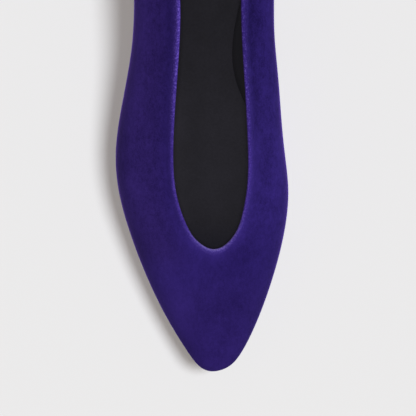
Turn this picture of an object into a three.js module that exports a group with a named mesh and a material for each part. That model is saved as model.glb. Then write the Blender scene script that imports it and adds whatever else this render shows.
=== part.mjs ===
// A woman's pointed toe flat shoe for the right foot: velvet upper, insole, outsole and low heel.
// Millimetres. +Z is up, the toe points along -Y, and the inner side of the foot faces +X.
// The origin is on the floor, under the middle of the shoe's bounding box.
import * as THREE from "three";

// Driving sizes
const LENGTH = 264; // toe tip to the back of the heel
const BALL_WIDTH = 83.2; // widest across the upper
const COLLAR_HEIGHT = 50.5; // topline above the heel seat, at the back
const VAMP_LENGTH = 57.3; // toe tip to the end of the throat
const COLLAR_SETBACK = 5.5; // how far the back of the topline leans forward
const OPENING_WIDTH = 38.2; // widest across the throat
const OPENING_SHIFT = 4.25; // middle of the opening, towards the inner side
const ARCH_TUCK = 19.5; // deepest the sole's edge sits under the upper, at the inner arch
const TOE_TUCK = 2.5; // the same at the toe tip
const HEEL_TUCK = 4; // the same at the back
const UPPER_WALL = 1.8; // velvet and lining together
const LASTING_MARGIN = 9; // how far the upper turns in under the insole
const INSOLE_THICKNESS = 2.6;
const SOLE_THICKNESS = 3;
const SOLE_LIP = 1; // how far the outsole stands out from the upper's edge
const EDGE_BEVEL = 0.8; // on the outsole's and insole's edges
const TOE_SPRING = 7; // the toe tip's lift from the floor
const TREAD_START = 63; // toe tip to the flat tread
const TREAD_LENGTH = 49;
const SEAT_LENGTH = 64; // level seat, measured from the back
const HEEL_HEIGHT = 10; // floor to the underside of the outsole at the seat
const TOP_PIECE_THICKNESS = 3;
const HEEL_LENGTH = 58; // the heel's breast to the back of the heel
const HEEL_INSET = 0.6; // heel inside the outsole's edge
const HEEL_TAPER = 1.4; // how much further in the heel is at the floor
const BREAST_CURVE = 4; // how hollow the front of the heel is
const CLEARANCE = 0.3; // between pieces that are cemented together

// Every closed line of the shoe is a smooth loop round it. A row's two values are for the outer
// and inner side of the foot, and "at" is the row's place from the toe tip, 0, to the heel, 1.
const table = (names, rows) =>
  rows.map((row) => Object.fromEntries(names.map((name, i) => [name, row[i]])));

// The widest line, seen from above: shares of half the ball width, from the shoe's middle line
const OUTLINE = table(["at", "outer", "inner"], [
  [0, 0.127, 0.127],
  [0.01, -0.033, 0.323],
  [0.04, -0.182, 0.48],
  [0.1, -0.414, 0.662],
  [0.18, -0.657, 0.839],
  [0.26, -0.845, 0.96],
  [0.33, -0.959, 0.996],
  [0.4, -0.988, 0.951],
  [0.5, -0.895, 0.891],
  [0.6, -0.791, 0.833],
  [0.7, -0.772, 0.824],
  [0.8, -0.782, 0.824],
  [0.9, -0.72, 0.76],
  [0.97, -0.46, 0.5],
  [1, 0.02, 0.02],
]);

// How far the sole's edge sits inside the widest line: shares of the arch tuck
const TUCK = table(["at", "outer", "inner"], [
  [0, 0, 0],
  [0.04, 0.06, 0.06],
  [0.18, 0.15, 0.15],
  [0.33, 0.2, 0.2],
  [0.4, 0.23, 0.28],
  [0.5, 0.27, 0.8],
  [0.6, 0.3, 0.97],
  [0.7, 0.28, 0.62],
  [0.8, 0.24, 0.35],
  [0.9, 0.18, 0.2],
  [1, 0, 0],
]);

// Height of the widest line above the seat: shares of the collar height
const WIDEST = table(["at", "outer", "inner"], [
  [0, 0.13, 0.13],
  [0.1, 0.15, 0.15],
  [0.26, 0.19, 0.2],
  [0.4, 0.22, 0.27],
  [0.6, 0.28, 0.43],
  [0.8, 0.34, 0.36],
  [1, 0.42, 0.42],
]);

// The topline. "from" is where the rib that reaches it leaves the widest line, "at" runs from
// the throat, 0, to the back, 1. Across: shares of half the opening's width. Height above the
// seat: shares of the collar height.
const TOPLINE = table(["from", "at", "outer", "inner", "outerHeight", "innerHeight"], [
  [0, 0, 0.073, 0.073, 0.588, 0.588],
  [0.01, 0.004, -0.105, 0.26, 0.59, 0.59],
  [0.04, 0.0145, -0.28, 0.417, 0.6, 0.6],
  [0.1, 0.034, -0.481, 0.6, 0.628, 0.63],
  [0.18, 0.0635, -0.669, 0.773, 0.665, 0.67],
  [0.26, 0.105, -0.843, 0.902, 0.7, 0.712],
  [0.33, 0.1625, -0.971, 0.994, 0.745, 0.762],
  [0.4, 0.2375, -1.003, 1.009, 0.782, 0.805],
  [0.5, 0.3675, -0.934, 0.939, 0.822, 0.855],
  [0.6, 0.4995, -0.842, 0.855, 0.815, 0.852],
  [0.7, 0.6275, -0.864, 0.834, 0.79, 0.825],
  [0.8, 0.755, -1.125, 0.9, 0.81, 0.84],
  [0.9, 0.88, -1.385, 1.02, 0.885, 0.9],
  [0.97, 0.9675, -1.02, 0.652, 0.972, 0.975],
  [1, 1, -0.185, -0.185, 1, 1],
]);

// Slope of the upper where it meets the topline, in degrees from level
const SLOPE = table(["at", "outer", "inner"], [
  [0, 17, 17],
  [0.1, 22, 23],
  [0.26, 33, 40],
  [0.4, 40, 52],
  [0.6, 43, 52],
  [0.8, 58, 60],
  [0.9, 70, 70],
  [1, 80, 80],
]);

// How much of the climb from the widest line to the topline is upright
const UPRIGHT = table(["at", "share"], [
  [0, 0.34],
  [0.1, 0.4],
  [0.3, 0.5],
  [1, 0.5],
]);

const FOOT_CORNER = 0.25; // how far up the widest line's height the sole's edge turns upright
const LANDING = 0.42; // how much of a rib runs at the topline's slope
const RIBS = 120;
const UNDER_STEPS = 5; // faces from the sole's edge to the widest line
const OVER_STEPS = 10; // faces from there to the topline, closer together at first
const OVER_CROWDING = 1.3;
const RIM_STEPS = 3;
const HEEL_COLUMNS = 8;
const SWEEPS = 60; // passes that settle a smooth loop

const angleAt = (at) => Math.acos(1 - 2 * at);
const shareAt = (angle) => (1 - Math.cos(angle)) / 2;
const FULL_TURN = 2 * Math.PI;

// A closed cubic spline round the shoe: angle 0 is the toe, a half turn the heel, and the outer
// side comes first. It has no kink anywhere.
function loop(rows, outer, inner, key = "at") {
  const angles = rows.map((row) => angleAt(row[key]));
  const back = rows.slice(1, -1).reverse();
  const knots = [...angles, ...back.map((row) => FULL_TURN - angleAt(row[key]))];
  const values = [...rows.map((row) => row[outer]), ...back.map((row) => row[inner])];
  const count = knots.length;
  const gap = (i) => (knots[(i + 1) % count] - knots[i] + FULL_TURN) % FULL_TURN;
  const slopes = values.map(() => 0);
  for (let sweep = 0; sweep < SWEEPS; sweep++) {
    for (let i = 0; i < count; i++) {
      const before = (i + count - 1) % count;
      const after = (i + 1) % count;
      const [h0, h1] = [gap(before), gap(i)];
      const rise = (values[i] - values[before]) / h0 ** 2 + (values[after] - values[i]) / h1 ** 2;
      slopes[i] = (3 * rise - slopes[before] / h0 - slopes[after] / h1) / (2 / h0 + 2 / h1);
    }
  }
  return (angle) => {
    const turn = ((angle % FULL_TURN) + FULL_TURN) % FULL_TURN;
    let i = count - 1;
    while (i > 0 && knots[i] > turn) i--;
    const after = (i + 1) % count;
    const h = gap(i);
    const t = (turn - knots[i]) / h;
    return (
      values[i] * (1 + 2 * t) * (1 - t) ** 2 +
      values[after] * t * t * (3 - 2 * t) +
      h * t * (1 - t) * (slopes[i] * (1 - t) - slopes[after] * t)
    );
  };
}

const outlineShare = loop(OUTLINE, "outer", "inner");
const tuckShare = loop(TUCK, "outer", "inner");
const widestShare = loop(WIDEST, "outer", "inner");
const toplineAt = loop(TOPLINE, "at", "at", "from");
const toplineShare = loop(TOPLINE, "outer", "inner", "from");
const toplineHeight = loop(TOPLINE, "outerHeight", "innerHeight", "from");
const slopeDegrees = loop(SLOPE, "outer", "inner");
const uprightShare = loop(UPRIGHT, "share", "share");

// Underside of the outsole over the floor: toe spring, flat tread, arch and level seat
function underside(y) {
  const spring = Math.max(0, 1 - y / TREAD_START);
  const treadEnd = TREAD_START + TREAD_LENGTH;
  const rise = THREE.MathUtils.smoothstep(y, treadEnd, LENGTH - SEAT_LENGTH);
  return TOE_SPRING * spring ** 2 + HEEL_HEIGHT * rise;
}
const seat = (y) => underside(y) + SOLE_THICKNESS;

// Where the upper meets the sole, in plan
function soleEdge(angle) {
  const side = Math.sin(angle) >= 0 ? -1 : 1; // the outer side of the foot is at -X
  const half = BALL_WIDTH / 2;
  const x = half * outlineShare(angle) - side * ARCH_TUCK * tuckShare(angle);
  const y = TOE_TUCK + (LENGTH - TOE_TUCK - HEEL_TUCK) * shareAt(angle);
  return new THREE.Vector2(x, y);
}

// A line at a distance outside the sole's edge, or inside it when negative
function besideEdge(angle, distance) {
  const step = 0.01;
  const along = soleEdge(angle + step).sub(soleEdge(angle - step)).normalize();
  const outwards = new THREE.Vector2(-along.y, along.x);
  return soleEdge(angle).addScaledVector(outwards, distance);
}

// One rib of the upper's outside, from the turned-in margin to the topline
function rib(angle) {
  const half = BALL_WIDTH / 2;
  const edgePlan = soleEdge(angle);
  const edge = new THREE.Vector3(edgePlan.x, edgePlan.y, seat(edgePlan.y) + CLEARANCE);

  const middle = new THREE.Vector2(half * outlineShare(0), LENGTH / 2);
  const marginX = middle.x + (edge.x - middle.x) * (1 - LASTING_MARGIN / half);
  const marginY = middle.y + (edge.y - middle.y) * (1 - (2 * LASTING_MARGIN) / LENGTH);
  const margin = new THREE.Vector3(marginX, marginY, seat(marginY) + CLEARANCE);

  const widestY = LENGTH * shareAt(angle);
  const widestRise = COLLAR_HEIGHT * widestShare(angle);
  const widest = new THREE.Vector3(half * outlineShare(angle), widestY, seat(widestY) + widestRise);
  const corner = new THREE.Vector3(widest.x, widest.y, edge.z + FOOT_CORNER * (widest.z - edge.z));

  const topY = VAMP_LENGTH + (LENGTH - VAMP_LENGTH - COLLAR_SETBACK) * toplineAt(angle);
  const top = new THREE.Vector3(
    OPENING_SHIFT + (OPENING_WIDTH / 2) * toplineShare(angle),
    topY,
    seat(topY) + COLLAR_HEIGHT * toplineHeight(angle),
  );
  const upright = widest.clone();
  upright.z += (top.z - widest.z) * uprightShare(angle);
  const slope = THREE.MathUtils.degToRad(slopeDegrees(angle));
  const inwards = new THREE.Vector3(top.x - widest.x, top.y - widest.y, 0).normalize();
  const climb = inwards.multiplyScalar(Math.cos(slope)).setZ(Math.sin(slope));
  const landing = top.clone().addScaledVector(climb, -LANDING * top.distanceTo(widest));

  const under = new THREE.QuadraticBezierCurve3(edge, corner, widest).getPoints(UNDER_STEPS);
  const curve = new THREE.CubicBezierCurve3(widest, upright, landing, top);
  const over = [];
  for (let i = 1; i <= OVER_STEPS; i++) over.push(curve.getPoint((i / OVER_STEPS) ** OVER_CROWDING));
  return { line: [margin, ...under, ...over], climb };
}

// Triangles are kept as a flat list of corners, and one with two corners in one place is dropped
const SAME_PLACE = 1e-3;
function triangle(out, a, b, c) {
  const tooClose = [[a, b], [b, c], [c, a]].some(([p, q]) => p.distanceTo(q) < SAME_PLACE);
  if (!tooClose) out.push(a, b, c);
}
function quad(out, a, b, c, d) {
  triangle(out, a, b, c);
  triangle(out, a, c, d);
}
// Faces between neighbouring lines of a grid, closed along the lines if they are loops
function skin(out, lines, closed = false) {
  for (let i = 0; i + 1 < lines.length; i++) {
    const last = lines[i].length - (closed ? 0 : 1);
    for (let j = 0; j < last; j++) {
      const k = (j + 1) % lines[i].length;
      quad(out, lines[i][j], lines[i][k], lines[i + 1][k], lines[i + 1][j]);
    }
  }
}

// A solid stacked up from layers. Each layer is a list of rows across the shoe, toe end first.
function stack(layers) {
  const out = [];
  const border = (rows) => {
    const outer = rows.map((row) => row[0]);
    const inner = rows.map((row) => row[row.length - 1]).reverse();
    return [
      ...outer,
      ...rows[rows.length - 1].slice(1, -1),
      ...inner,
      ...rows[0].slice(1, -1).reverse(),
    ];
  };
  skin(out, layers[0].map((row) => [...row].reverse()));
  skin(out, layers.map(border).reverse(), true);
  skin(out, layers[layers.length - 1]);
  return out;
}

function named(name, corners, color, roughness) {
  const geometry = new THREE.BufferGeometry().setFromPoints(corners);
  geometry.computeVertexNormals();
  const material = new THREE.MeshStandardMaterial({ color, roughness, metalness: 0 });
  const mesh = new THREE.Mesh(geometry, material);
  mesh.name = name;
  return mesh;
}

// The upper: one wall that runs from the margin up to the topline, over the rim and back down
function upper() {
  const ribs = Array.from({ length: RIBS }, (_, i) => rib((i * FULL_TURN) / RIBS));
  const outside = ribs.map((one) => one.line);
  const steps = outside[0].length;
  const lines = ribs.map((one, i) => {
    const next = outside[(i + 1) % RIBS];
    const previous = outside[(i + RIBS - 1) % RIBS];
    const inside = one.line.map((point, j) => {
      const along = next[j].clone().sub(previous[j]);
      const up = one.line[Math.min(j + 1, steps - 1)].clone().sub(one.line[Math.max(j - 1, 0)]);
      const inwards = along.cross(up).normalize();
      return point.clone().addScaledVector(inwards, UPPER_WALL);
    });
    const edge = one.line[steps - 1];
    const lining = inside[steps - 1];
    const middle = edge.clone().add(lining).divideScalar(2);
    const rim = [];
    for (let k = 1; k < RIM_STEPS; k++) {
      const turn = (Math.PI * k) / RIM_STEPS;
      const across = edge.clone().sub(middle).multiplyScalar(Math.cos(turn));
      const beyond = one.climb.clone().multiplyScalar((UPPER_WALL / 2) * Math.sin(turn));
      rim.push(middle.clone().add(across).add(beyond));
    }
    return [...one.line, ...rim, ...inside.reverse()];
  });
  const out = [];
  skin(out, [...lines, lines[0]], true);
  return named("upper", out, 0x2c1e63, 0.95);
}

// Rows across the shoe inside a line beside the sole's edge, at a height that follows the seat
function solePlan(distance, height) {
  const rows = [];
  for (let i = 0; i <= RIBS / 2; i++) {
    const angle = (i * FULL_TURN) / RIBS;
    const ends = [besideEdge(angle, distance), besideEdge(FULL_TURN - angle, distance)];
    rows.push(ends.map((end) => new THREE.Vector3(end.x, end.y, height(end.y))));
  }
  return rows;
}

function insole() {
  const edge = -UPPER_WALL - CLEARANCE;
  const base = (y) => seat(y) + UPPER_WALL + 2 * CLEARANCE;
  const layers = [
    solePlan(edge, base),
    solePlan(edge, (y) => base(y) + INSOLE_THICKNESS - EDGE_BEVEL),
    solePlan(edge - EDGE_BEVEL, (y) => base(y) + INSOLE_THICKNESS),
  ];
  return named("insole", stack(layers), 0x232226, 0.7);
}

function outsole() {
  const layers = [
    solePlan(SOLE_LIP - EDGE_BEVEL, underside),
    solePlan(SOLE_LIP, (y) => underside(y) + EDGE_BEVEL),
    solePlan(SOLE_LIP, seat),
  ];
  return named("outsole", stack(layers), 0x1c1b1e, 0.6);
}

// Rows across the heel, hollowed at its breast, each row a little fuller than the one before
function heelPlan(distance, height) {
  const breast = LENGTH - HEEL_LENGTH;
  const first = angleAt((breast - TOE_TUCK) / (LENGTH - TOE_TUCK - HEEL_TUCK));
  const count = Math.ceil(((Math.PI - first) * RIBS) / FULL_TURN);
  const rows = [];
  for (let i = 0; i <= count; i++) {
    const angle = first + ((Math.PI - first) * i) / count;
    const [a, b] = [besideEdge(angle, distance), besideEdge(FULL_TURN - angle, distance)];
    const row = [];
    for (let j = 0; j <= HEEL_COLUMNS; j++) {
      const across = j / HEEL_COLUMNS;
      const hollow = BREAST_CURVE * 4 * across * (1 - across) * (1 - i / count) ** 2;
      const point = a.clone().lerp(b, across);
      row.push(new THREE.Vector3(point.x, point.y + hollow, height(point.y + hollow)));
    }
    rows.push(row);
  }
  return rows;
}

function heel() {
  const edge = SOLE_LIP - HEEL_INSET;
  const layers = [
    heelPlan(edge - HEEL_TAPER, () => TOP_PIECE_THICKNESS + CLEARANCE),
    heelPlan(edge, (y) => underside(y) - CLEARANCE),
  ];
  return named("heel", stack(layers), 0x1c1b1e, 0.55);
}

function heelTopPiece() {
  const edge = SOLE_LIP - HEEL_INSET - HEEL_TAPER;
  const layers = [
    heelPlan(edge - EDGE_BEVEL, () => 0),
    heelPlan(edge, () => EDGE_BEVEL),
    heelPlan(edge, () => TOP_PIECE_THICKNESS),
  ];
  return named("heel_top_piece", stack(layers), 0x141416, 0.85);
}

const shoe = new THREE.Group();
shoe.add(upper(), insole(), outsole(), heel(), heelTopPiece());
const box = new THREE.Box3().setFromObject(shoe);
const middle = box.getCenter(new THREE.Vector3());
shoe.position.set(-middle.x, -middle.y, -box.min.z);

const part = new THREE.Group();
part.add(shoe);
export default part;
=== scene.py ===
"""A woman's pointed toe flat for the right foot, in dark violet velvet with a black inside.

Everything is in metres, in the frame's own axes: +Z up, the toe along -Y, the inner side of the
foot at +X. Shapes are worked out in the shoe's own plan, x across and y back from the toe tip.
"""

import math

import bmesh
import bpy
import numpy as np
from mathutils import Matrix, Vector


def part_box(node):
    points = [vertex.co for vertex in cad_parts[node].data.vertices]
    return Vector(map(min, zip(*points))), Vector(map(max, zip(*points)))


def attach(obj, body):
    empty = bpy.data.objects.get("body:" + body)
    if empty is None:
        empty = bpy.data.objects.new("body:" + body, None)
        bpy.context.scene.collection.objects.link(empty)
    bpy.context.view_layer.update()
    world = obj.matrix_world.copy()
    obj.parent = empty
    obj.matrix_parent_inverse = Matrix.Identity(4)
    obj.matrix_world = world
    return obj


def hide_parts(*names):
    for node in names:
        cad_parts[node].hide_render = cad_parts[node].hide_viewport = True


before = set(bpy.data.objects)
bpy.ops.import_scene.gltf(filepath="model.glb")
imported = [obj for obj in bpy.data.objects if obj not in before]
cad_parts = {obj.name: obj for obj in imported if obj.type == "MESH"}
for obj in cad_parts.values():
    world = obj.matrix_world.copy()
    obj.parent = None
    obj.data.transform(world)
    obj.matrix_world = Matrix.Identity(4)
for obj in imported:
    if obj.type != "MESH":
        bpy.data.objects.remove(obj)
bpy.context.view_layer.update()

# Sizes from the frame
upper_low, upper_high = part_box("upper")
_, insole_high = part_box("insole")
_, outsole_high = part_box("outsole")
heel_low, heel_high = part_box("heel")
_, top_piece_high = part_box("heel_top_piece")
LENGTH = upper_high.y - upper_low.y
MM = LENGTH / 264  # a millimetre of the shoe's drawing
SEAT = outsole_high.z  # top of the outsole under the heel
TOP_PIECE = top_piece_high.z
INSOLE_TOP = insole_high.z
CLEARANCE = heel_low.z - TOP_PIECE
HEEL_HEIGHT = heel_high.z + CLEARANCE
SOLE_THICKNESS = SEAT - HEEL_HEIGHT

# Sizes that the frame's boxes don't give
COLLAR_HEIGHT = 50.5 * MM
VAMP_LENGTH = 57.3 * MM
COLLAR_SETBACK = 5.5 * MM
OPENING_WIDTH = 38.2 * MM
OPENING_SHIFT = 4.25 * MM
ARCH_TUCK = 19.5 * MM
TOE_TUCK = 2.5 * MM
HEEL_TUCK = 4 * MM
UPPER_WALL = 1.8 * MM
LASTING_MARGIN = 9 * MM
SOLE_LIP = 1 * MM
TOE_SPRING = 7 * MM
TREAD_START = 63 * MM
TREAD_LENGTH = 49 * MM
SEAT_LENGTH = 64 * MM
HEEL_LENGTH = 58 * MM
HEEL_INSET = 0.6 * MM
HEEL_TAPER = 1.4 * MM
BREAST_CURVE = 4 * MM
FINE_GAP = 0.05 * MM  # between pieces that lie on each other
HEEL_GAP_UNDER = 0.04 * MM
HEEL_GAP_OVER = 0.02 * MM

# Closed lines round the shoe. Rows run from the toe tip, at 0, to the heel, at 1, with a value
# for the outer and for the inner side of the foot.
OUTLINE = [  # at, outer, inner: shares of half the ball width, from the middle line
    (0, 0.127, 0.127),
    (0.01, -0.033, 0.323),
    (0.04, -0.182, 0.48),
    (0.1, -0.414, 0.662),
    (0.18, -0.657, 0.839),
    (0.26, -0.845, 0.96),
    (0.33, -0.959, 0.996),
    (0.4, -0.988, 0.951),
    (0.5, -0.895, 0.891),
    (0.6, -0.791, 0.833),
    (0.7, -0.772, 0.824),
    (0.8, -0.782, 0.824),
    (0.9, -0.72, 0.76),
    (0.97, -0.46, 0.5),
    (1, 0.02, 0.02),
]
TUCK = [  # at, outer, inner: how far the sole's edge sits inside, as shares of the arch tuck
    (0, 0, 0),
    (0.04, 0.06, 0.06),
    (0.18, 0.15, 0.15),
    (0.33, 0.2, 0.2),
    (0.4, 0.23, 0.28),
    (0.5, 0.27, 0.8),
    (0.6, 0.3, 0.97),
    (0.7, 0.28, 0.62),
    (0.8, 0.24, 0.35),
    (0.9, 0.18, 0.2),
    (1, 0, 0),
]
WIDEST = [  # at, outer, inner: the widest line's height over the seat, of the collar height
    (0, 0.13, 0.13),
    (0.1, 0.15, 0.15),
    (0.26, 0.19, 0.2),
    (0.4, 0.22, 0.27),
    (0.6, 0.28, 0.43),
    (0.8, 0.34, 0.36),
    (1, 0.42, 0.42),
]
TOPLINE = [  # from, at, outer, inner across, outer, inner height
    (0, 0, 0.073, 0.073, 0.588, 0.588),
    (0.01, 0.004, -0.105, 0.26, 0.59, 0.59),
    (0.04, 0.0145, -0.28, 0.417, 0.6, 0.6),
    (0.1, 0.034, -0.481, 0.6, 0.628, 0.63),
    (0.18, 0.0635, -0.669, 0.773, 0.665, 0.67),
    (0.26, 0.105, -0.843, 0.902, 0.7, 0.712),
    (0.33, 0.1625, -0.971, 0.994, 0.745, 0.762),
    (0.4, 0.2375, -1.003, 1.009, 0.782, 0.805),
    (0.5, 0.3675, -0.934, 0.939, 0.822, 0.855),
    (0.6, 0.4995, -0.842, 0.855, 0.815, 0.852),
    (0.7, 0.6275, -0.864, 0.834, 0.79, 0.825),
    (0.8, 0.755, -1.125, 0.9, 0.81, 0.84),
    (0.9, 0.88, -1.385, 1.02, 0.885, 0.9),
    (0.97, 0.9675, -1.02, 0.652, 0.972, 0.975),
    (1, 1, -0.185, -0.185, 1, 1),
]
SLOPE = [  # at, outer, inner: degrees from level where the upper meets the topline
    (0, 17, 17),
    (0.1, 22, 23),
    (0.26, 33, 40),
    (0.4, 40, 52),
    (0.6, 43, 52),
    (0.8, 58, 60),
    (0.9, 70, 70),
    (1, 80, 80),
]
UPRIGHT = [(0, 0.34), (0.1, 0.4), (0.3, 0.5), (1, 0.5)]  # at, share of the climb that is upright
FOOT_CORNER = 0.25
LANDING = 0.42
FULL_TURN = 2 * math.pi


def loop(rows, outer, inner):
    """A closed cubic spline round the shoe, without a kink, as a function of the angle."""
    at, out, back = (np.array([row[i] for row in rows], float) for i in (0, outer, inner))
    angles = np.arccos(1 - 2 * at)
    knots = np.concatenate([angles, FULL_TURN - angles[-2:0:-1]])
    values = np.concatenate([out, back[-2:0:-1]])
    gap = np.roll(knots, -1) - knots
    gap[-1] += FULL_TURN
    count = len(knots)
    matrix = np.zeros((count, count))
    right = np.zeros(count)
    for i in range(count):
        h0, h1 = gap[i - 1], gap[i]
        after = (i + 1) % count
        matrix[i, i - 1] += 1 / h0
        matrix[i, i] += 2 / h0 + 2 / h1
        matrix[i, after] += 1 / h1
        right[i] = 3 * ((values[i] - values[i - 1]) / h0**2 + (values[after] - values[i]) / h1**2)
    slopes = np.linalg.solve(matrix, right)

    def at_angle(angle):
        turn = np.mod(angle, FULL_TURN)
        i = np.clip(np.searchsorted(knots, turn, side="right") - 1, 0, count - 1)
        after = (i + 1) % count
        h = gap[i]
        t = (turn - knots[i]) / h
        ends = values[i] * (1 + 2 * t) * (1 - t) ** 2 + values[after] * t * t * (3 - 2 * t)
        return ends + h * t * (1 - t) * (slopes[i] * (1 - t) - slopes[after] * t)

    return at_angle


outline_share = loop(OUTLINE, 1, 2)
tuck_share = loop(TUCK, 1, 2)
widest_share = loop(WIDEST, 1, 2)
topline_at = loop(TOPLINE, 1, 1)
topline_share = loop(TOPLINE, 2, 3)
topline_height = loop(TOPLINE, 4, 5)
slope_degrees = loop(SLOPE, 1, 2)
upright_share = loop(UPRIGHT, 1, 1)

HALF_DEGREES = 721
round_shoe = outline_share(np.linspace(0, FULL_TURN, HALF_DEGREES))
HALF_BALL = (upper_high.x - upper_low.x) / (round_shoe.max() - round_shoe.min())
MIDDLE_LINE = upper_low.x - HALF_BALL * round_shoe.min()
TOE_TIP = upper_low.y


def share_at(angle):
    """How far back from the toe an angle is, as a share of the length."""
    return (1 - np.cos(angle)) / 2


def smooth(value, low, high):
    """0 at low, 1 at high and eased between them. low may be the larger one."""
    t = np.clip((value - low) / (high - low), 0, 1)
    return t * t * (3 - 2 * t)


def bell(value, reach):
    """1 at nothing, falling off both ways within about the reach."""
    return np.exp(-((value / reach) ** 2))


def underside(y):
    """Underside of the outsole over the floor: toe spring, flat tread, arch and level seat."""
    spring = np.maximum(0, 1 - y / TREAD_START)
    rise = smooth(y, TREAD_START + TREAD_LENGTH, LENGTH - SEAT_LENGTH)
    return TOE_SPRING * spring**2 + HEEL_HEIGHT * rise


def seat(y):
    return underside(y) + SOLE_THICKNESS


def sole_edge(angle):
    """Where the upper meets the sole, in plan."""
    side = np.where(np.sin(angle) >= 0, -1, 1)
    x = HALF_BALL * outline_share(angle) - side * ARCH_TUCK * tuck_share(angle)
    y = TOE_TUCK + (LENGTH - TOE_TUCK - HEEL_TUCK) * share_at(angle)
    return np.stack([x, y], -1)


def beside_edge(angle, distance):
    """A line at a distance outside the sole's edge."""
    step = 0.01
    along = sole_edge(angle + step) - sole_edge(angle - step)
    along /= np.linalg.norm(along, axis=-1, keepdims=True)
    outwards = np.stack([-along[..., 1], along[..., 0]], -1)
    return sole_edge(angle) + outwards * np.expand_dims(distance, -1)


def unit(vectors):
    shortest = 1e-12
    return vectors / np.maximum(np.linalg.norm(vectors, axis=-1, keepdims=True), shortest)


MARGIN_STEPS = 3
UNDER_STEPS = 16
OVER_STEPS = 56
OVER_CROWDING = 1.3


def ribs(angle):
    """Lines over the upper's outside from the turned-in margin to the topline, one for each
    angle, and the direction in which each reaches the topline."""
    edge_plan = sole_edge(angle)
    edge = np.stack([*edge_plan.T, seat(edge_plan[:, 1])], -1)
    middle = np.array([HALF_BALL * outline_share(0.0), LENGTH / 2])
    inset = np.array([LASTING_MARGIN / HALF_BALL, 2 * LASTING_MARGIN / LENGTH])
    margin_plan = middle + (edge_plan - middle) * (1 - inset)
    margin = np.stack([*margin_plan.T, seat(margin_plan[:, 1])], -1)

    widest_y = LENGTH * share_at(angle)
    widest_z = seat(widest_y) + COLLAR_HEIGHT * widest_share(angle)
    widest = np.stack([HALF_BALL * outline_share(angle), widest_y, widest_z], -1)
    corner = widest.copy()
    corner[:, 2] = edge[:, 2] + FOOT_CORNER * (widest[:, 2] - edge[:, 2])

    top_y = VAMP_LENGTH + (LENGTH - VAMP_LENGTH - COLLAR_SETBACK) * topline_at(angle)
    top_x = OPENING_SHIFT + OPENING_WIDTH / 2 * topline_share(angle)
    top = np.stack([top_x, top_y, seat(top_y) + COLLAR_HEIGHT * topline_height(angle)], -1)
    upright = widest.copy()
    upright[:, 2] += (top[:, 2] - widest[:, 2]) * upright_share(angle)
    slope = np.radians(slope_degrees(angle))
    inwards = (top - widest) * [1, 1, 0]
    climb = unit(inwards) * np.cos(slope)[:, None]
    climb[:, 2] = np.sin(slope)
    reach = np.linalg.norm(top - widest, axis=-1, keepdims=True)
    landing = top - climb * LANDING * reach

    lines = []
    for t in np.linspace(0, 1, MARGIN_STEPS, endpoint=False):
        lines.append(margin * (1 - t) + edge * t)
    for t in np.linspace(0, 1, UNDER_STEPS, endpoint=False):
        lines.append(edge * (1 - t) ** 2 + 2 * corner * t * (1 - t) + widest * t * t)
    for t in np.linspace(0, 1, OVER_STEPS + 1) ** OVER_CROWDING:
        start = widest * (1 - t) ** 3 + 3 * upright * t * (1 - t) ** 2
        lines.append(start + 3 * landing * t * t * (1 - t) + top * t**3)
    return np.stack(lines, 1), climb


def inward_normals(lines):
    along = np.roll(lines, -1, 0) - np.roll(lines, 1, 0)
    up = np.gradient(lines, axis=1)
    return unit(np.cross(along, up))


def run_along(lines):
    """How far each point is along its line, from the first one."""
    steps = np.linalg.norm(np.diff(lines, axis=1), axis=-1)
    return np.concatenate([np.zeros((len(lines), 1)), np.cumsum(steps, 1)], 1)


def run_round(points):
    """How far each point is round a closed line, from the first one."""
    steps = np.linalg.norm(np.roll(points, -1, 0) - points, axis=-1)
    return np.concatenate([[0], np.cumsum(steps)[:-1]])


# Round the shoe, with more lines at the seam down the back of the heel
ROUND_STEPS = 432
SEAM_STEPS = 41
SEAM_SPREAD = 0.07
LEAST_STEP = 0.005  # radians between the even lines and the finer ones
even = np.linspace(0, FULL_TURN, ROUND_STEPS, endpoint=False)
fine = math.pi + np.linspace(-SEAM_SPREAD, SEAM_SPREAD, SEAM_STEPS)
angles = np.concatenate([even[np.abs(even - math.pi) > SEAM_SPREAD + LEAST_STEP], fine])
angles.sort()


SEAM_DEPTH = 0.5 * MM
SEAM_WIDTH = 0.45 * MM
SEAM_SWELL = 0.16 * MM  # beside the seam
SEAM_END = 2 * MM  # below the topline, where the seam fades
PUCKER_DEPTH = 0.11 * MM
PUCKER_REACH = 3.2 * MM
PUCKERS = [(3.7, 0, 1), (5.3, 1.3, 0.7)]  # length in mm, start, share of the depth
WAVE_DEPTH = 0.16 * MM
WAVES = [(61, 0.4, 1), (37, 2.1, 0.6)]
PRESSED_DEPTH = 0.12 * MM


def ripple(run, parts):
    """Waves of several lengths along a run, added up."""
    turns = FULL_TURN * run
    return sum(share * np.sin(turns / (length * MM) + start) for length, start, share in parts)


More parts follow.
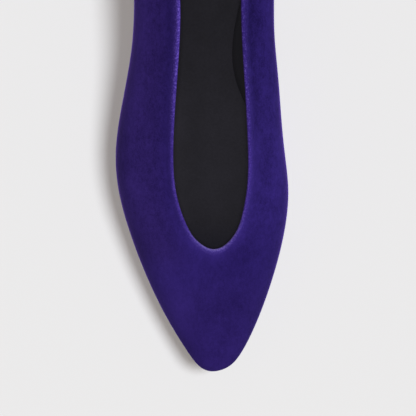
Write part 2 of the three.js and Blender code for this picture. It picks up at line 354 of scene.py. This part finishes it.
def relief(lines):
    """Low forms of the worked velvet, outwards: the back seam, puckers where it is drawn round
    the sole's edge, slight waves along the sides and the line pressed in under the rolled edge."""
    up_from_edge = run_along(lines) - run_along(lines)[:, MARGIN_STEPS : MARGIN_STEPS + 1]
    down_from_top = run_along(lines)[:, -1:] - run_along(lines)
    run = run_round(lines[:, MARGIN_STEPS + UNDER_STEPS])
    heel = run[np.argmin(np.abs(angles - math.pi))]
    from_heel = (run - heel)[:, None]
    y = lines[:, MARGIN_STEPS + UNDER_STEPS, 1:2]

    seam = -SEAM_DEPTH * bell(from_heel, SEAM_WIDTH)
    seam = seam + SEAM_SWELL * bell(np.abs(from_heel) - 1.5 * MM, 0.8 * MM)
    seam = seam * np.minimum(1, down_from_top / SEAM_END)

    ends = smooth(y, 75 * MM, 15 * MM) + 0.8 * smooth(y, 215 * MM, 245 * MM)
    fade = np.exp(-np.maximum(up_from_edge, 0) / PUCKER_REACH) * (up_from_edge > 0)
    pucker = PUCKER_DEPTH * ends * ripple(run, PUCKERS)[:, None] * fade

    sides = smooth(y, 70 * MM, 120 * MM) * smooth(y, 262 * MM, 235 * MM)
    wave = ripple(run, WAVES)[:, None]
    waves = WAVE_DEPTH * sides * wave * bell(down_from_top - 17 * MM, 12 * MM)

    pressed = -PRESSED_DEPTH * bell(down_from_top - 2.7 * MM, 0.8 * MM)
    return seam + pucker + waves + pressed


outside, climb = ribs(angles)
inwards = inward_normals(outside)
outside = outside - inwards * relief(outside)[..., None]


def to_frame(points):
    return points + np.array([MIDDLE_LINE, TOE_TIP, 0])


SAME_POINT = 1e-6  # metres, points nearer than this are joined


def made(name, points, faces, material, replaced=(), smooth_angle=40):
    """A mesh object in the frame that rides on the shoe's one body."""
    mesh = bpy.data.meshes.new(name)
    mesh.from_pydata(to_frame(points).tolist(), [], faces)
    work = bmesh.new()
    work.from_mesh(mesh)
    bmesh.ops.remove_doubles(work, verts=work.verts, dist=SAME_POINT)
    bmesh.ops.recalc_face_normals(work, faces=work.faces)
    work.to_mesh(mesh)
    work.free()
    mesh.shade_smooth()
    mesh.set_sharp_from_angle(angle=math.radians(smooth_angle))
    piece = bpy.data.objects.new(name, mesh)
    bpy.context.scene.collection.objects.link(piece)
    mesh.materials.append(material)
    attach(piece, "root")
    if replaced:
        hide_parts(*replaced)
    return piece


def ring_faces(rings, steps):
    """Four-sided faces of a grid that is closed both ways."""
    faces = []
    for i in range(rings):
        for j in range(steps):
            a, b = i * steps, ((i + 1) % rings) * steps
            k = (j + 1) % steps
            faces.append((a + j, b + j, b + k, a + k))
    return faces


# Velvet
ROLL_RADIUS = 0.95 * MM
ROLL_PROUD = 0.1 * MM
ROLL_STEPS = 14
TURN_IN = 3.2 * MM  # how far the velvet reaches down inside
TURN_IN_EASE = 0.25 * MM
VELVET = 0.95 * MM
CREST_LEAN = math.radians(28)  # of the line where the painted highlight on the roll is brightest, over level and towards the opening
LINING_TOP_GAP = 0.15 * MM


def velvet_upper(material):
    """Velvet from the margin up, over the rolled topline and a little way down inside."""
    top = outside[:, -1]
    top_in = inwards[:, -1]
    centre = top + top_in * ROLL_RADIUS
    radius = ROLL_RADIUS + ROLL_PROUD
    roll = []
    for turn in np.linspace(-90, 90, ROLL_STEPS):
        a = math.radians(turn)
        roll.append(centre + climb * radius * math.cos(a) + top_in * radius * math.sin(a))
    down_from_top = run_along(outside)[:, -1:] - run_along(outside)
    turned = smooth(down_from_top, TURN_IN + TURN_IN_EASE, TURN_IN - TURN_IN_EASE)
    thick = VELVET + (2 * ROLL_RADIUS + ROLL_PROUD - VELVET) * turned
    back = outside + inwards * thick[..., None]
    lines = np.concatenate([outside[:, :-1], np.stack(roll, 1), back[:, -2::-1]], 1)
    rings, steps = lines.shape[:2]
    piece = made("upper_velvet", lines.reshape(-1, 3), ring_faces(rings, steps), material,
                 ["upper"])
    # The line where the painted highlight on the roll is brightest; painted light and shade on the
    # velvet are measured from it
    turn = (np.arcsin(climb[:, 2]) - CREST_LEAN)[:, None]
    mark_pile(piece, centre + (climb * np.cos(turn) + top_in * np.sin(turn)) * radius)
    return piece


PILE_PATCHES = [  # x, y, reach across, reach along in mm of the frame; lighter or darker: partly brushed pile, partly painted light and shade
    (-30, 26, 6, 30, 0.3),  # outer waist, painted light
    (-34, -4, 6, 16, 0.16),
    (-30, -42, 9, 20, 0.24),  # outer side of the ball
    (-18, -86, 9, 20, 0.22),  # outer side of the toe
    (-10, -105, 7, 14, 0.18),
    (18, -76, 7, 8, -0.1),  # inner side of the toe
    (14, -102, 10, 16, -0.13),
    (24, 34, 4, 32, -0.2),  # inner waist
    (38, -10, 5, 50, 0.16),  # inner rim, painted sheen
    (-32, 96, 12, 22, 0.14),  # heel
    (-20, 124, 10, 14, -0.1),
    (6, 131, 9, 10, 0.12),
    (30, 106, 9, 16, 0.12),
    (33, 76, 8, 12, -0.1),
]


def distance_to(target, points):
    """How far each point is from the nearest one of the target."""
    distance = np.full(len(points), np.inf)
    at_once = 48
    for start in range(0, len(target), at_once):
        block = target[start : start + at_once]
        away = np.linalg.norm(points[:, None] - block[None], axis=-1).min(1)
        distance = np.minimum(distance, away)
    return distance


def brushed_and_painted_light_patches(points):
    """Lighter and darker patches, partly where the pile was brushed this way or that and partly
    painted light and shade.
    """
    tone = np.zeros(len(points))
    for x, y, across, along, amount in PILE_PATCHES:
        far = ((points[:, 0] / MM - x) / across) ** 2 + ((points[:, 1] / MM - y) / along) ** 2
        tone = tone + amount * np.exp(-far)
    return tone


def mark_pile(piece, crest):
    """Stores on each point, from how near it is to the rolled edge and where it lies, where light
    and shade are painted on the velvet: a painted highlight strongest on the edge, painted sheen
    that fades further out, painted glints where single tufts catch the light, a pale painted
    highlight along the throat's edge, the tone of the patches, partly brushed pile and partly
    painted light and shade, with the darker line beyond the edge, painted shade that dulls the
    outer side, with a duller toe, and how uneven the nap looks."""
    points = np.array([v.co for v in piece.data.vertices])
    distance = distance_to(to_frame(crest), points)
    y = points[:, 1] - TOE_TIP

    # Parts of the shoe, each from 0 to 1 over a stretch back from the toe tip
    inner = smooth(points[:, 0] - MIDDLE_LINE, 0, 14 * MM)
    outer = 1 - inner
    toe = smooth(y, 56 * MM, 30 * MM)
    throat = smooth(y, VAMP_LENGTH + 14 * MM, VAMP_LENGTH - 1 * MM)
    # Where the pale painted highlight along the throat's edge lies
    throat_highlight = smooth(y, VAMP_LENGTH + (14 + 9 * inner) * MM, VAMP_LENGTH - 1 * MM)
    waist = smooth(y, 92 * MM, 125 * MM)
    back_waist = smooth(y, 125 * MM, 160 * MM)
    back = smooth(y, VAMP_LENGTH + 45 * MM, VAMP_LENGTH + 85 * MM)
    outer_middle = outer * smooth(y, 85 * MM, 98 * MM) * smooth(y, 152 * MM, 136 * MM)

    # Painted light: how bright the edge's painted highlight is, and how far its painted sheen goes
    # down beside it
    lit = 1 + inner * (0.55 - 0.67 * waist - 0.36 * back_waist + 0.5 * throat)
    lit = lit - 0.27 * outer_middle
    beside = (0.48 + 0.1 * inner + 0.22 * back * outer) * lit
    sheen = throat * (1 - 0.3 * inner) + (1 - throat) * beside
    roll = (0.55 + 0.28 * back) * lit * (1 - 0.1 * inner)
    roll_reach = (1.05 + 0.6 * back * outer) * MM

    # The darker line beyond the edge, and painted shade that dulls the outer side, away from the
    # key light
    shade = -0.15 * back * (1 - 0.4 * inner) * (1 - 0.35 * outer_middle)
    painted_outer_shade = smooth(points[:, 0], 8 * MM, -22 * MM) * (1 - 0.6 * smooth(y, 60 * MM, 45 * MM))
    painted_outer_shade = painted_outer_shade * (1 - bell(distance, 8.5 * MM))

    store(piece, {
        "roll": bell(distance, roll_reach) * roll,
        "glow": np.exp(-distance / (2.6 * MM)) * sheen,
        "painted_tuft_glints": bell(distance, 1.9 * MM) * (0.15 + 0.85 * back) * lit,
        "pale": bell(distance, 0.8 * MM) * throat_highlight,
        "brushed_and_painted_light": brushed_and_painted_light_patches(points) + shade * bell(distance - 5.2 * MM, 2 * MM),
        "dull_and_painted_shade": np.maximum(painted_outer_shade, 0.5 * toe),
        "nap": 0.6 + 0.4 * smooth(y, VAMP_LENGTH - 8 * MM, VAMP_LENGTH + 24 * MM),
    })


def store(piece, marks):
    """Puts named values on a piece's points, for its material to read."""
    for name, values in marks.items():
        attribute = piece.data.attributes.new(name, "FLOAT", "POINT")
        attribute.data.foreach_set("value", values.astype(np.float32))


def lining(material):
    """The black lining from under the insole to just below the velvet's turned edge."""
    down = run_along(outside)[:, -1:] - run_along(outside)
    below = [np.flatnonzero(rib > TURN_IN + LINING_TOP_GAP)[-1] for rib in down]
    covered = slice(0, min(below) + 1)
    outer = outside[:, covered] + inwards[:, covered] * (VELVET + FINE_GAP)
    inner = outside[:, covered] + inwards[:, covered] * UPPER_WALL
    lines = np.concatenate([outer, inner[:, ::-1]], 1)
    rings, steps = lines.shape[:2]
    return made("lining", lines.reshape(-1, 3), ring_faces(rings, steps), material,
                smooth_angle=50)


# Solids stacked from layers of rows across the shoe, toe end first


def stacked(name, layers, material, replaced, smooth_angle=40):
    """A closed solid: the lowest and the highest layer, and a wall round all of them."""
    rows, columns = layers[0].shape[:2]
    size = rows * columns
    points = np.concatenate([layer.reshape(-1, 3) for layer in layers])
    outer = [i * columns for i in range(rows)]
    inner = [i * columns + columns - 1 for i in range(rows)]
    last = list(range((rows - 1) * columns + 1, rows * columns - 1))
    first = list(range(1, columns - 1))
    border = outer + last + inner[::-1] + first[::-1]
    faces = []
    for low in range(len(layers) - 1):
        for j, here in enumerate(border):
            there = border[(j + 1) % len(border)]
            a, b = low * size, (low + 1) * size
            faces.append((a + here, a + there, b + there, b + here))
    for base in (0, (len(layers) - 1) * size):
        for i in range(rows - 1):
            for j in range(columns - 1):
                corner = base + i * columns + j
                faces.append((corner, corner + 1, corner + columns + 1, corner + columns))
    used = sorted({index for face in faces for index in face})
    place = {index: i for i, index in enumerate(used)}
    faces = [tuple(place[index] for index in face) for face in faces]
    return made(name, points[used], faces, material, replaced, smooth_angle)


ARCH_MIDDLE = 0.61  # share of the length
ARCH_SPAN = 0.05


def sole_plan(half_turn, columns, arch_reach=0.0):
    """A plan for layers: rows across inside a line beside the sole's edge, one for each angle of
    half a turn. It is wider by arch_reach at the arch, where the upper's wall leans out."""
    arch = bell(share_at(half_turn) - ARCH_MIDDLE, ARCH_SPAN)
    across = np.linspace(0, 1, columns)[None, :, None]

    def plan(distance, height):
        left = beside_edge(half_turn, distance)
        right = beside_edge(FULL_TURN - half_turn, distance + arch_reach * arch)
        points = left[:, None] * (1 - across) + right[:, None] * across
        z = height(points[..., 0], points[..., 1], across[..., 0])
        return np.concatenate([points, z[..., None]], -1)

    return plan


ROUNDING_STEPS = 6


def rounded_layers(plan, distance, low, high, low_radius, high_radius, groove=()):
    """Layers of a slab whose lower and upper edges are rounded. low and high are heights, and
    groove lists how deep the side is cut in and at which share of its height."""
    layers = []
    for i in range(ROUNDING_STEPS + 1):
        a = math.pi / 2 * i / ROUNDING_STEPS
        inset, lift = low_radius * (1 - math.sin(a)), low_radius * (1 - math.cos(a))
        layers.append(plan(distance - inset, lambda x, y, across: low(x, y, across) + lift))
    for depth, share in groove:
        layers.append(plan(distance - depth, lambda x, y, across: (
            low(x, y, across) * (1 - share) + high(x, y, across) * share)))
    for i in range(ROUNDING_STEPS + 1):
        a = math.pi / 2 * i / ROUNDING_STEPS
        inset, drop = high_radius * (1 - math.cos(a)), high_radius * (1 - math.sin(a))
        layers.append(plan(distance - inset, lambda x, y, across: high(x, y, across) - drop))
    return layers


INSOLE_ROWS = 200
INSOLE_COLUMNS = 24
INSOLE_ARCH_REACH = 1.05 * MM
HOLLOWS = [(232 * MM, 20 * MM, 0.7 * MM), (88 * MM, 24 * MM, 0.4 * MM)]  # back, reach, depth


def insole(material):
    """The covered insole, a little hollowed for the heel and the ball, its edge rounded."""
    top_over_seat = INSOLE_TOP - SEAT

    def low(x, y, across):
        return seat(y) + UPPER_WALL + 2 * FINE_GAP

    def high(x, y, across):
        middle = 4 * across * (1 - across)
        hollow = sum(depth * bell(y - back, reach) for back, reach, depth in HOLLOWS)
        return seat(y) + top_over_seat - hollow * middle**1.5

    half_turn = np.linspace(0, math.pi, INSOLE_ROWS)
    plan = sole_plan(half_turn, INSOLE_COLUMNS, INSOLE_ARCH_REACH)
    layers = rounded_layers(plan, -UPPER_WALL - FINE_GAP, low, high,
                            low_radius=0.2 * MM, high_radius=0.3 * MM)
    piece = stacked("insole_cover", layers, material, ["insole"])
    points = np.array([v.co for v in piece.data.vertices])
    x, y = points[:, 0], points[:, 1] - TOE_TIP
    # Painted shade at the heel end and at the throat, under the vamp, and painted light by the
    # outer edge at the ball
    store(piece, {
        "painted_heel_shade": smooth(y, 122 * MM, 162 * MM),
        "painted_outer_light": smooth(x, -2 * MM, -17 * MM) * smooth(y, 165 * MM, 130 * MM),
        "painted_throat_shade": smooth(y, VAMP_LENGTH + 17 * MM, VAMP_LENGTH),
    })
    return piece


# Tread cut into the underside: an oval of cross ridges, as x, y, half width and half length
BALL_TREAD = (0.5 * MM, 76 * MM, 26 * MM, 37 * MM)
HEEL_TREAD = (0.6 * MM, 236 * MM, 19 * MM, 17 * MM)
TREAD_DEPTH = 0.55 * MM
TREAD_PITCH = 3.6 * MM
TREAD_EDGE = (1.02, 0.97)  # of the oval: where it begins, and where it has its full depth
RIDGE_BOW = 9  # at the oval's sides a ridge lies back by the half width over this
RIDGE_SLOPE = 0.45


def tread(x, y, field):
    """How deep the tread is cut at a point."""
    middle_x, middle_y, half_width, half_length = field
    out = np.hypot((x - middle_x) / half_width, (y - middle_y) / half_length)
    inside = smooth(out, *TREAD_EDGE)
    bow = (x - middle_x) ** 2 / (RIDGE_BOW * half_width)
    ridges = smooth(np.sin(FULL_TURN * (y + bow) / TREAD_PITCH), -RIDGE_SLOPE, RIDGE_SLOPE)
    return TREAD_DEPTH * inside * ridges


OUTSOLE_ROWS = 170
OUTSOLE_COLUMNS = 70
ROWS_TO_RIDGE = 8
LINE_DEPTH = 0.22 * MM
EDGE_LINE = [(0, 0.5), (LINE_DEPTH, 0.57), (LINE_DEPTH, 0.61), (0, 0.68)]  # depth, share of height


def outsole(material):
    """The thin outsole, with a fine line cut round its edge and a tread under the ball."""

    def low(x, y, across):
        return underside(y) + tread(x, y, BALL_TREAD)

    def high(x, y, across):
        return seat(y) - FINE_GAP

    first, last = BALL_TREAD[1] - BALL_TREAD[3], BALL_TREAD[1] + BALL_TREAD[3]
    treaded = np.arccos(1 - 2 * np.arange(first, last, TREAD_PITCH / ROWS_TO_RIDGE) / LENGTH)
    plain = np.linspace(0, math.pi, OUTSOLE_ROWS)
    plain = plain[(plain < treaded[0] - LEAST_STEP) | (plain > treaded[-1] + LEAST_STEP)]
    plan = sole_plan(np.sort(np.concatenate([plain, treaded])), OUTSOLE_COLUMNS)
    layers = rounded_layers(plan, SOLE_LIP, low, high,
                            low_radius=0.8 * MM, high_radius=0.35 * MM, groove=EDGE_LINE)
    return stacked("outsole_slab", layers, material, ["outsole"], smooth_angle=30)


HEEL_ROWS = 130
HEEL_COLUMNS = 60
HEEL_LAYERS = 9
HEEL_WAIST = 0.25 * MM  # how hollow the heel's sides are


def heel_plan(distance, height):
    """Rows across the heel, hollowed at its breast."""
    breast = LENGTH - HEEL_LENGTH
    share = (breast - TOE_TUCK) / (LENGTH - TOE_TUCK - HEEL_TUCK)
    first = math.acos(1 - 2 * share)
    half_turn = np.linspace(first, math.pi, HEEL_ROWS)
    left = beside_edge(half_turn, distance)
    right = beside_edge(FULL_TURN - half_turn, distance)
    across = np.linspace(0, 1, HEEL_COLUMNS)[None, :, None]
    plan = left[:, None] * (1 - across) + right[:, None] * across
    back = np.linspace(0, 1, HEEL_ROWS)[:, None]
    across = across[..., 0]
    plan[..., 1] += BREAST_CURVE * 4 * across * (1 - across) * (1 - back) ** 2
    z = np.broadcast_to(height(plan[..., 0], plan[..., 1], across), plan.shape[:2])
    return np.concatenate([plan, z[..., None]], -1)


def heel(material):
    """The heel block, tapering a little to the floor with slightly hollow sides."""
    edge = SOLE_LIP - HEEL_INSET
    low = TOP_PIECE + HEEL_GAP_UNDER
    layers = []
    for t in np.linspace(0, 1, HEEL_LAYERS):
        inset = HEEL_TAPER * (1 - t) + HEEL_WAIST * math.sin(math.pi * t)

        def height(x, y, across, t=t):
            return low * (1 - t) + (underside(y) - HEEL_GAP_OVER) * t

        layers.append(heel_plan(edge - inset, height))
    return stacked("heel_block", layers, material, ["heel"])


def heel_top_piece(material):
    """The rubber under the heel, with its own tread."""
    edge = SOLE_LIP - HEEL_INSET - HEEL_TAPER

    def low(x, y, across):
        return tread(x, y, HEEL_TREAD)

    def high(x, y, across):
        return TOP_PIECE

    layers = rounded_layers(heel_plan, edge, low, high,
                            low_radius=0.6 * MM, high_radius=0.15 * MM)
    return stacked("heel_top_lift", layers, material, ["heel_top_piece"],
                   smooth_angle=30)


# Materials
NOISE_RANGE = (0.3, 0.7)  # noise hardly goes past these


class Nodes:
    """A material's node tree, with short calls to add and join nodes."""

    def __init__(self, name):
        self.material = bpy.data.materials.new(name)
        self.material.use_nodes = True
        self.tree = self.material.node_tree
        self.shader = self.tree.nodes["Principled BSDF"]
        self.place = self.add("ShaderNodeTexCoord").outputs["Object"]

    def add(self, kind, **values):
        node = self.tree.nodes.new(kind)
        for key, value in values.items():
            setattr(node, key, value)
        return node

    def join(self, source, target):
        self.tree.links.new(source, target)

    def set(self, **values):
        for name, value in values.items():
            self.shader.inputs[name.replace("_", " ")].default_value = value

    def mark(self, name):
        return self.add("ShaderNodeAttribute", attribute_name=name).outputs["Fac"]

    def noise(self, size, stretch=(1, 1, 1), detail=3.0, roughness=0.5):
        """Noise whose spots are about size across, in metres, stretched along X, Y and Z."""
        mapping = self.add("ShaderNodeMapping")
        mapping.inputs["Scale"].default_value = [1 / (size * s) for s in stretch]
        self.join(self.place, mapping.inputs["Vector"])
        noise = self.add("ShaderNodeTexNoise")
        noise.inputs["Scale"].default_value = 1
        noise.inputs["Detail"].default_value = detail
        noise.inputs["Roughness"].default_value = roughness
        self.join(mapping.outputs["Vector"], noise.inputs["Vector"])
        return noise.outputs["Fac"]

    def spread(self, value, low, high, to_low=0.0, to_high=1.0):
        """The value's range from low to high, spread from to_low to to_high."""
        node = self.add("ShaderNodeMapRange", clamp=True)
        self.join(value, node.inputs["Value"])
        node.inputs["From Min"].default_value = low
        node.inputs["From Max"].default_value = high
        node.inputs["To Min"].default_value = to_low
        node.inputs["To Max"].default_value = to_high
        return node.outputs["Result"]

    def weigh(self, *noises):
        """A sum of noises, each spread over 0 to 1 and multiplied by its weight."""
        total = None
        for noise, weight in noises:
            part = self.math("MULTIPLY", self.spread(noise, *NOISE_RANGE), weight)
            total = part if total is None else self.math("ADD", total, part)
        return total

    def math(self, operation, a, b):
        node = self.add("ShaderNodeMath", operation=operation)
        for socket, value in zip(node.inputs, (a, b)):
            if isinstance(value, (int, float)):
                socket.default_value = value
            else:
                self.join(value, socket)
        return node.outputs["Value"]

    def mix(self, factor, first, second, blend="MIX"):
        node = self.add("ShaderNodeMix", data_type="RGBA", blend_type=blend)
        sockets = {"Factor": factor, "A": first, "B": second}
        for socket in node.inputs:
            value = sockets.get(socket.name)
            if value is None or not socket.enabled:
                continue
            if isinstance(value, (tuple, float, int)):
                socket.default_value = (*value, 1) if isinstance(value, tuple) else value
            else:
                self.join(value, socket)
        return next(s for s in node.outputs if s.enabled)

    def bump(self, height, distance, strength, before=None):
        node = self.add("ShaderNodeBump")
        node.inputs["Distance"].default_value = distance
        node.inputs["Strength"].default_value = strength
        self.join(height, node.inputs["Height"])
        if before is not None:
            self.join(before, node.inputs["Normal"])
        return node.outputs["Normal"]


MEAN_TONE = 0.645  # half the sum of the weights of the velvet's noises
BRUSHED_AND_PAINTED_LIGHT_WEIGHT = 1.3
TONE_RANGE = (0.16, 1.16)
BEAD_RANGE = (0.38, 0.62)
TUFT_RANGE = (0.53, 0.66)
GLOW_WEIGHT = 0.8
PILE_DARK = (0.0065, 0.0024, 0.045)
PILE_LIGHT = (0.036, 0.0184, 0.19)
PILE_DULL = (1.06, 1.02, 0.89)  # multiplies the pile's colour: painted shade on the outer side, and a duller toe
# Colours of painted light: sheen beside the rolled edge, the highlight on it, glints of single
# tufts and the pale highlight at the throat
PILE_GLOW = (0.051, 0.0275, 0.262)
PILE_ROLL_HIGHLIGHT = (0.118, 0.064, 0.44)
PILE_TUFT_GLINTS = (0.23, 0.15, 0.66)
PILE_THROAT_HIGHLIGHT = (0.24, 0.19, 0.52)


def velvet_tone(n, mottle, tufts):
    """How light the pile is, from noises of several sizes and the patches, partly brushed pile and
    partly painted light and shade.
    """
    tone = n.weigh(
        (n.noise(24 * MM, (1, 1.6, 1), detail=2), 0.18),
        (n.noise(7 * MM, (1, 1.4, 1), detail=3, roughness=0.6), 0.22),
        (mottle, 0.26),
        (n.noise(0.95 * MM, (1, 1.3, 1), detail=3, roughness=0.6), 0.22),
        (n.noise(1.1 * MM, (1, 4, 2), detail=3, roughness=0.6), 0.11),
        (tufts, 0.3),
    )
    uneven = n.math("MULTIPLY", n.math("SUBTRACT", tone, MEAN_TONE), n.mark("nap"))
    tone = n.math("ADD", uneven, MEAN_TONE)
    # The patches, partly brushed pile and partly painted light and shade, and the darker line
    # beyond the edge
    return n.math("ADD", tone, n.math("MULTIPLY", n.mark("brushed_and_painted_light"), BRUSHED_AND_PAINTED_LIGHT_WEIGHT))


def velvet_material():
    """Short dense pile: soft patches, partly where it leans differently and partly painted light
    and shade, fine streaks along the shoe, a painted highlight and painted sheen on the rolled
    edge, painted glints of tufts, a pale painted highlight at the throat and painted shade that
    dulls the outer side."""
    n = Nodes("velvet")
    mottle = n.noise(2.3 * MM, (1, 1.4, 1), detail=4, roughness=0.65)
    tufts = n.noise(0.45 * MM, detail=2, roughness=0.6)
    beads = n.noise(0.8 * MM, detail=1)
    tone = n.spread(velvet_tone(n, mottle, tufts), *TONE_RANGE)
    colour = n.mix(tone, PILE_DARK, PILE_LIGHT)
    # Painted shade: a duller, warmer colour on the outer side, and a duller toe
    colour = n.mix(n.mark("dull_and_painted_shade"), colour, PILE_DULL, "MULTIPLY")
    # Painted sheen beside the rolled edge, then the painted highlight on it, broken up by beads
    colour = n.mix(n.math("MULTIPLY", n.mark("glow"), GLOW_WEIGHT), colour, PILE_GLOW)
    broken = n.math("MULTIPLY", n.mark("roll"), n.spread(beads, *BEAD_RANGE, 0.3, 1.05))
    colour = n.mix(broken, colour, PILE_ROLL_HIGHLIGHT)
    # Painted glints where single tufts catch the light
    specks = n.math("MULTIPLY", n.mark("painted_tuft_glints"), n.spread(beads, *TUFT_RANGE, 0, 0.45))
    colour = n.mix(specks, colour, PILE_TUFT_GLINTS)
    # The pale painted highlight along the throat's edge
    pale = n.math("MULTIPLY", n.mark("pale"), n.spread(beads, *BEAD_RANGE, 0.45, 1.0))
    colour = n.mix(pale, colour, PILE_THROAT_HIGHLIGHT)
    n.join(colour, n.shader.inputs["Base Color"])
    n.set(Roughness=0.95, Specular_IOR_Level=0.08, Sheen_Weight=0.5, Sheen_Roughness=0.3,
          Sheen_Tint=(0.27, 0.12, 0.94, 1))
    normal = n.bump(mottle, 0.16 * MM, 0.7)
    normal = n.bump(tufts, 0.08 * MM, 0.6, normal)
    n.join(normal, n.shader.inputs["Normal"])
    return n.material


INSOLE_PAINTED_LIGHT_AND_SHADE = {  # painted light and shade: the leather's colour is multiplied by these where each mark is 1
    "painted_heel_shade": (0.84, 0.84, 0.84),
    "painted_outer_light": (1.42, 1.41, 1.4),
    "painted_throat_shade": (0.79, 0.8, 0.93),
}


def black_leather(name, base, roughness, grain, shades):
    """Matt black lining leather with a fine grain, with light and shade painted where marks on the
    piece say.
    """
    n = Nodes(name)
    cloudy = n.noise(14 * MM, detail=3)
    fine = n.noise(grain, detail=4, roughness=0.6)
    tone = n.math("ADD", n.math("MULTIPLY", cloudy, 0.6), n.math("MULTIPLY", fine, 0.4))
    dark, light = (tuple(c * k for c in base) for k in (0.82, 1.18))
    colour = n.mix(n.spread(tone, 0.35, 0.65), dark, light)
    for mark, shade in shades.items():
        colour = n.mix(n.mark(mark), colour, shade, "MULTIPLY")
    n.join(colour, n.shader.inputs["Base Color"])
    n.join(n.spread(cloudy, *NOISE_RANGE, roughness - 0.06, roughness + 0.06),
           n.shader.inputs["Roughness"])
    n.set(Specular_IOR_Level=0.3, Sheen_Weight=0.12, Sheen_Roughness=0.4,
          Sheen_Tint=(0.8, 0.78, 1.0, 1))
    n.join(n.bump(fine, 0.05 * MM, 0.35), n.shader.inputs["Normal"])
    return n.material


def sole_material(name, base, roughness, grain):
    """Black moulded rubber or painted edge with a slight texture."""
    n = Nodes(name)
    rough = n.noise(grain, detail=5, roughness=0.6)
    cloudy = n.noise(20 * MM, detail=2)
    dark, light = (tuple(c * k for c in base) for k in (0.85, 1.2))
    n.join(n.mix(n.spread(cloudy, *NOISE_RANGE), dark, light), n.shader.inputs["Base Color"])
    n.join(n.spread(rough, *NOISE_RANGE, roughness - 0.08, roughness + 0.08),
           n.shader.inputs["Roughness"])
    n.set(Specular_IOR_Level=0.35)
    n.join(n.bump(rough, 0.08 * MM, 0.5), n.shader.inputs["Normal"])
    return n.material


# The shoe
shoe_lining = lining(black_leather(
    "lining_leather", base=(0.0068, 0.0060, 0.0098), roughness=0.75, grain=0.9 * MM, shades={}))
shoe_insole = insole(black_leather(
    "insole_leather", base=(0.0625, 0.0590, 0.0755), roughness=0.78, grain=1.1 * MM,
    shades=INSOLE_PAINTED_LIGHT_AND_SHADE))
outside_pieces = [
    velvet_upper(velvet_material()),
    outsole(sole_material(
        "outsole_rubber", base=(0.014, 0.013, 0.015), roughness=0.6, grain=0.7 * MM)),
    heel(sole_material(
        "heel_cover", base=(0.013, 0.012, 0.014), roughness=0.45, grain=0.5 * MM)),
    heel_top_piece(sole_material(
        "top_piece_rubber", base=(0.010, 0.010, 0.011), roughness=0.7, grain=0.5 * MM)),
]

# Floor, light and camera
FLOOR_SIZE = 60  # metres
FLOOR_COLOUR = (0.798, 0.792, 0.793, 1)
FILL = 0.055
FILL_COLOUR = (1.0, 0.98, 0.96, 1)
KEY_STRENGTH = 2.345
KEY_COLOUR = (0.929, 0.967, 1.0)
KEY_SPREAD = math.radians(22.5)
KEY_TILT = math.radians(23.7)  # from straight overhead, towards the inner side
TOP_STRENGTH = 1.11
TOP_COLOUR = (1.0, 0.93, 0.87)
TOP_SPREAD = math.radians(6)
INSIDE_STRENGTH = 0.33
INSIDE_COLOUR = (0.98, 0.98, 1.0)
INSIDE_SPREAD = math.radians(6)
LINING_ROOM = 1.9
INSOLE_ROOM = 0.74
ROOM_SPREAD = math.radians(170)


def floor():
    mesh = bpy.data.meshes.new("floor")
    half = FLOOR_SIZE / 2
    corners = [(-half, -half, 0), (half, -half, 0), (half, half, 0), (-half, half, 0)]
    mesh.from_pydata(corners, [], [(0, 1, 2, 3)])
    piece = bpy.data.objects.new("floor", mesh)
    bpy.context.scene.collection.objects.link(piece)
    material = bpy.data.materials.new("floor")
    material.use_nodes = True
    shader = material.node_tree.nodes["Principled BSDF"]
    shader.inputs["Base Color"].default_value = FLOOR_COLOUR
    shader.inputs["Roughness"].default_value = 1
    shader.inputs["Specular IOR Level"].default_value = 0
    mesh.materials.append(material)
    return piece


def collected(name, pieces):
    group = bpy.data.collections.new(name)
    for piece in pieces:
        group.objects.link(piece)
    return group


def soft_light(name, strength, colour, spread, tilt, receivers, blockers=()):
    """A broad distant light, tilted from overhead towards +X. It lights the receivers only. If
    blockers are given, only they keep it out."""
    data = bpy.data.lights.new(name, "SUN")
    data.energy = strength
    data.color = colour
    data.angle = spread
    lamp = bpy.data.objects.new(name, data)
    lamp.rotation_euler = (0, tilt, 0)
    bpy.context.scene.collection.objects.link(lamp)
    lamp.light_linking.receiver_collection = collected(name, receivers)
    if blockers:
        lamp.light_linking.blocker_collection = collected(name + " blockers", blockers)


def lights(ground):
    """One key light, one top light and soft light down on the insole. The light that the room
    throws into the shoe comes from all sides, and only the floor keeps it out, so that the
    inside isn't lost in the dark."""
    world = bpy.data.worlds.new("studio")
    world.use_nodes = True
    background = world.node_tree.nodes["Background"]
    background.inputs["Color"].default_value = FILL_COLOUR
    background.inputs["Strength"].default_value = FILL
    bpy.context.scene.world = world
    in_the_open = [ground, *outside_pieces]
    soft_light("key", KEY_STRENGTH, KEY_COLOUR, KEY_SPREAD, KEY_TILT, in_the_open)
    soft_light("top", TOP_STRENGTH, TOP_COLOUR, TOP_SPREAD, 0, in_the_open)
    soft_light("inside", INSIDE_STRENGTH, INSIDE_COLOUR, INSIDE_SPREAD, 0, [shoe_insole])
    for piece, strength in ((shoe_lining, LINING_ROOM), (shoe_insole, INSOLE_ROOM)):
        name = "room on " + piece.name
        soft_light(name, strength, INSIDE_COLOUR, ROOM_SPREAD, 0, [piece], [ground])


# The photograph looks straight down with the toe towards its lower edge
PHOTO_PIXELS = 416
PIXEL = 0.4786e-3  # metres to a pixel of the photograph at PIXEL_HEIGHT over the floor
PIXEL_HEIGHT = 14e-3
CAMERA_HEIGHT = 1.4
SENSOR = 36  # millimetres
NEAREST = 0.01
FARTHEST = 50
VIEW_X = 2.86 * MM
VIEW_Y = TOE_TIP + 78.05 * MM


def camera():
    data = bpy.data.cameras.new("camera")
    data.sensor_width = SENSOR
    data.lens = SENSOR * (CAMERA_HEIGHT - PIXEL_HEIGHT) / (PHOTO_PIXELS * PIXEL)
    data.clip_start = NEAREST
    data.clip_end = FARTHEST
    eye = bpy.data.objects.new("camera", data)
    eye.location = (VIEW_X, VIEW_Y, CAMERA_HEIGHT)
    bpy.context.scene.collection.objects.link(eye)
    bpy.context.scene.camera = eye


lights(floor())
camera()
bpy.context.scene.view_settings.view_transform = "Standard"
bpy.context.scene.view_settings.look = "None"
